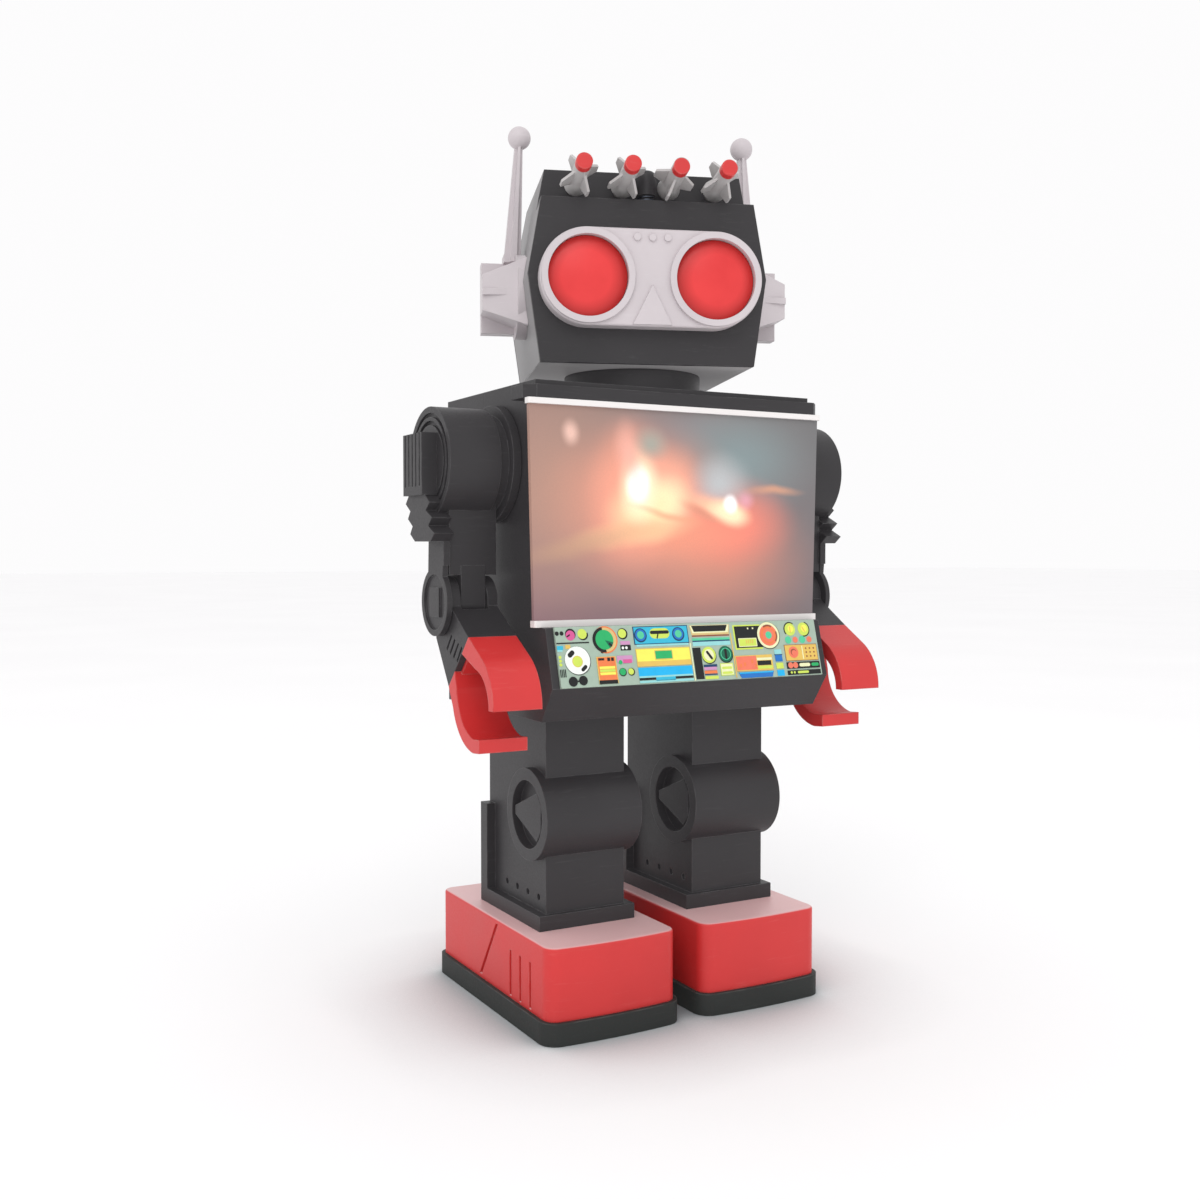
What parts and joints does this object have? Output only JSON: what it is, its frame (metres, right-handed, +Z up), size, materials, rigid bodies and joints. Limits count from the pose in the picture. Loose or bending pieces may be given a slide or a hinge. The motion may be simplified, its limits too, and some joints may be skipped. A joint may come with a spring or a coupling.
{
  "type": "clockwork toy robot",
  "caption": "Clockwork toy robot with a picture screen in its chest, turning head, rocket launcher, posable arms and stepping legs.",
  "frame": {"origin": "on the floor under the middle of the robot's width and whole depth", "axes": "+Z up, front faces -Y, the robot's own left is +X"},
  "size_m": [0.18, 0.1252, 0.3295],
  "materials": {
    "black_shell": "satin moulded",
    "sole_black": "matte moulded",
    "grey_shell": "satin moulded",
    "silver_shell": "silver-grey moulded",
    "missile_grey": "silver-grey moulded, red nose",
    "red_shell": "satin moulded",
    "red_lens": "clear red, diffuse",
    "white_trim": "white moulded",
    "screen_picture": "translucent printed window",
    "drum_picture": "translucent printed",
    "panel_print": "printed plate",
    "brass_plate": "pressed",
    "steel_turned": "turned",
    "spring_steel": "blued strip",
    "key_steel": "nickel plated",
    "roller_rubber": "matt"
  },
  "bodies": {
    "torso": {"torso_front": "black_shell", "torso_back": "black_shell", "torso_fascia": "black_shell", "screen_bar_top": "white_trim", "screen_bar_bottom": "white_trim", "screen_window": "screen_picture", "control_panel": "panel_print", "neck_collar": "black_shell", "neck_retainer": "black_shell", "case_screws": "steel_turned", "frame_plates": "brass_plate", "frame_pillars": "steel_turned", "mainspring": "spring_steel", "guide_rods": "steel_turned"},
    "key": {"key_arbor": "steel_turned", "winding_key": "key_steel"},
    "crown": {"crown_wheel": "brass_plate"},
    "crank": {"crank_shaft": "steel_turned", "crank_discs": "brass_plate"},
    "drum": {"picture_drum": "drum_picture"},
    "air_brake": {"governor": "brass_plate"},
    "stop": {"stop_lever": "black_shell"},
    "head": {"head_front": "black_shell", "head_wrap": "grey_shell", "head_back": "black_shell", "eye_mask": "silver_shell", "eye_rings": "silver_shell", "eye_lenses": "red_lens", "ear_pod_left": "silver_shell", "ear_pod_right": "silver_shell", "antenna_left": "silver_shell", "antenna_right": "silver_shell", "launcher_block": "black_shell", "missile_springs": "spring_steel", "button_spring": "spring_steel"},
    "button": {"launch_button": "black_shell"},
    "rocket_1": {"missile_1": "missile_grey"},
    "rocket_2": {"missile_2": "missile_grey"},
    "rocket_3": {"missile_3": "missile_grey"},
    "rocket_4": {"missile_4": "missile_grey"},
    "leg_left": {"foot_shell_left": "red_shell", "sole_left": "sole_black", "leg_left": "black_shell", "leg_hanger_left": "steel_turned"},
    "roller_left": {"foot_roller_left": "roller_rubber"},
    "arm_left": {"shoulder_axle_left": "steel_turned", "upper_arm_left": "black_shell", "arm_actuator_left": "black_shell"},
    "forearm_left": {"forearm_left": "black_shell", "claw_hand_left": "red_shell"},
    "leg_right": {"foot_shell_right": "red_shell", "sole_right": "sole_black", "leg_right": "black_shell", "leg_hanger_right": "steel_turned"},
    "roller_right": {"foot_roller_right": "roller_rubber"},
    "arm_right": {"shoulder_axle_right": "steel_turned", "upper_arm_right": "black_shell", "arm_actuator_right": "black_shell"},
    "forearm_right": {"forearm_right": "black_shell", "claw_hand_right": "red_shell"}
  },
  "joints": [
    {"name": "head_turn", "type": "hinge", "parent": "torso", "child": "head", "pos_m": [0, -0.00744, 0.2362], "axis": [0, 0, 1], "range_deg": [-25, 65]},
    {"name": "shoulder_left", "type": "hinge", "parent": "torso", "child": "arm_left", "pos_m": [0.07, -0.01044, 0.2007], "axis": [-1, 0, 0], "range_deg": [-20, 110]},
    {"name": "elbow_left", "type": "hinge", "parent": "arm_left", "child": "forearm_left", "pos_m": [0.07205, -0.01214, 0.1514], "axis": [-1, 0, 0], "range_deg": [-35, 50]},
    {"name": "shoulder_right", "type": "hinge", "parent": "torso", "child": "arm_right", "pos_m": [-0.07, -0.01044, 0.2007], "axis": [-1, 0, 0], "range_deg": [-20, 110]},
    {"name": "elbow_right", "type": "hinge", "parent": "arm_right", "child": "forearm_right", "pos_m": [-0.07205, -0.01214, 0.1514], "axis": [-1, 0, 0], "range_deg": [-35, 50]},
    {"name": "leg_left_step", "type": "slide", "parent": "torso", "child": "leg_left", "axis": [0, 1, 0], "range_m": [-0.005, 0.005]},
    {"name": "leg_right_step", "type": "slide", "parent": "torso", "child": "leg_right", "axis": [0, 1, 0], "range_m": [-0.005, 0.005]},
    {"name": "roller_left_turn", "type": "hinge", "parent": "leg_left", "child": "roller_left", "pos_m": [0.0315, 0.00856, 0.0093], "axis": [1, 0, 0], "continuous": true},
    {"name": "roller_right_turn", "type": "hinge", "parent": "leg_right", "child": "roller_right", "pos_m": [-0.0315, 0.00856, 0.0093], "axis": [1, 0, 0], "continuous": true},
    {"name": "key_wind", "type": "hinge", "parent": "torso", "child": "key", "pos_m": [0, 0.04456, 0.15], "axis": [0, 1, 0], "continuous": true},
    {"name": "great_wheel_turn", "type": "hinge", "parent": "torso", "child": "crown", "pos_m": [0, 0.00656, 0.15], "axis": [0, 1, 0], "continuous": true},
    {"name": "crank_turn", "type": "hinge", "parent": "torso", "child": "crank", "pos_m": [0, -0.00528, 0.15], "axis": [1, 0, 0], "continuous": true},
    {"name": "picture_drum_turn", "type": "hinge", "parent": "torso", "child": "drum", "pos_m": [0, -0.01544, 0.18153], "axis": [1, 0, 0], "continuous": true},
    {"name": "governor_turn", "type": "hinge", "parent": "torso", "child": "air_brake", "pos_m": [0, -0.01869, 0.13875], "axis": [1, 0, 0], "continuous": true},
    {"name": "stop_lever_slide", "type": "slide", "parent": "torso", "child": "stop", "axis": [1, 0, 0], "range_m": [0, 0.006]},
    {"name": "rocket_1_launch", "type": "slide", "parent": "head", "child": "rocket_1", "axis": [-0.3342, -0.9376, 0.0958], "range_m": [0, 0.03]},
    {"name": "rocket_2_launch", "type": "slide", "parent": "head", "child": "rocket_2", "axis": [-0.3342, -0.9376, 0.0958], "range_m": [0, 0.03]},
    {"name": "rocket_3_launch", "type": "slide", "parent": "head", "child": "rocket_3", "axis": [-0.3342, -0.9376, 0.0958], "range_m": [0, 0.03]},
    {"name": "rocket_4_launch", "type": "slide", "parent": "head", "child": "rocket_4", "axis": [-0.3342, -0.9376, 0.0958], "range_m": [0, 0.03]},
    {"name": "launch_button_press", "type": "slide", "parent": "head", "child": "button", "axis": [0, 0, -1], "range_m": [0, 0.0022], "stiffness_N_per_m": 150, "springref_m": -0.001, "deforming": ["button_spring"]}
  ],
  "couplings": [
    {"joint": "crank_turn", "follows": "great_wheel_turn", "ratio": -3},
    {"joint": "picture_drum_turn", "follows": "great_wheel_turn", "ratio": 1.5429},
    {"joint": "governor_turn", "follows": "great_wheel_turn", "ratio": 5.4},
    {"joint": "leg_right_step", "follows": "leg_left_step", "ratio": -1}
  ]
}
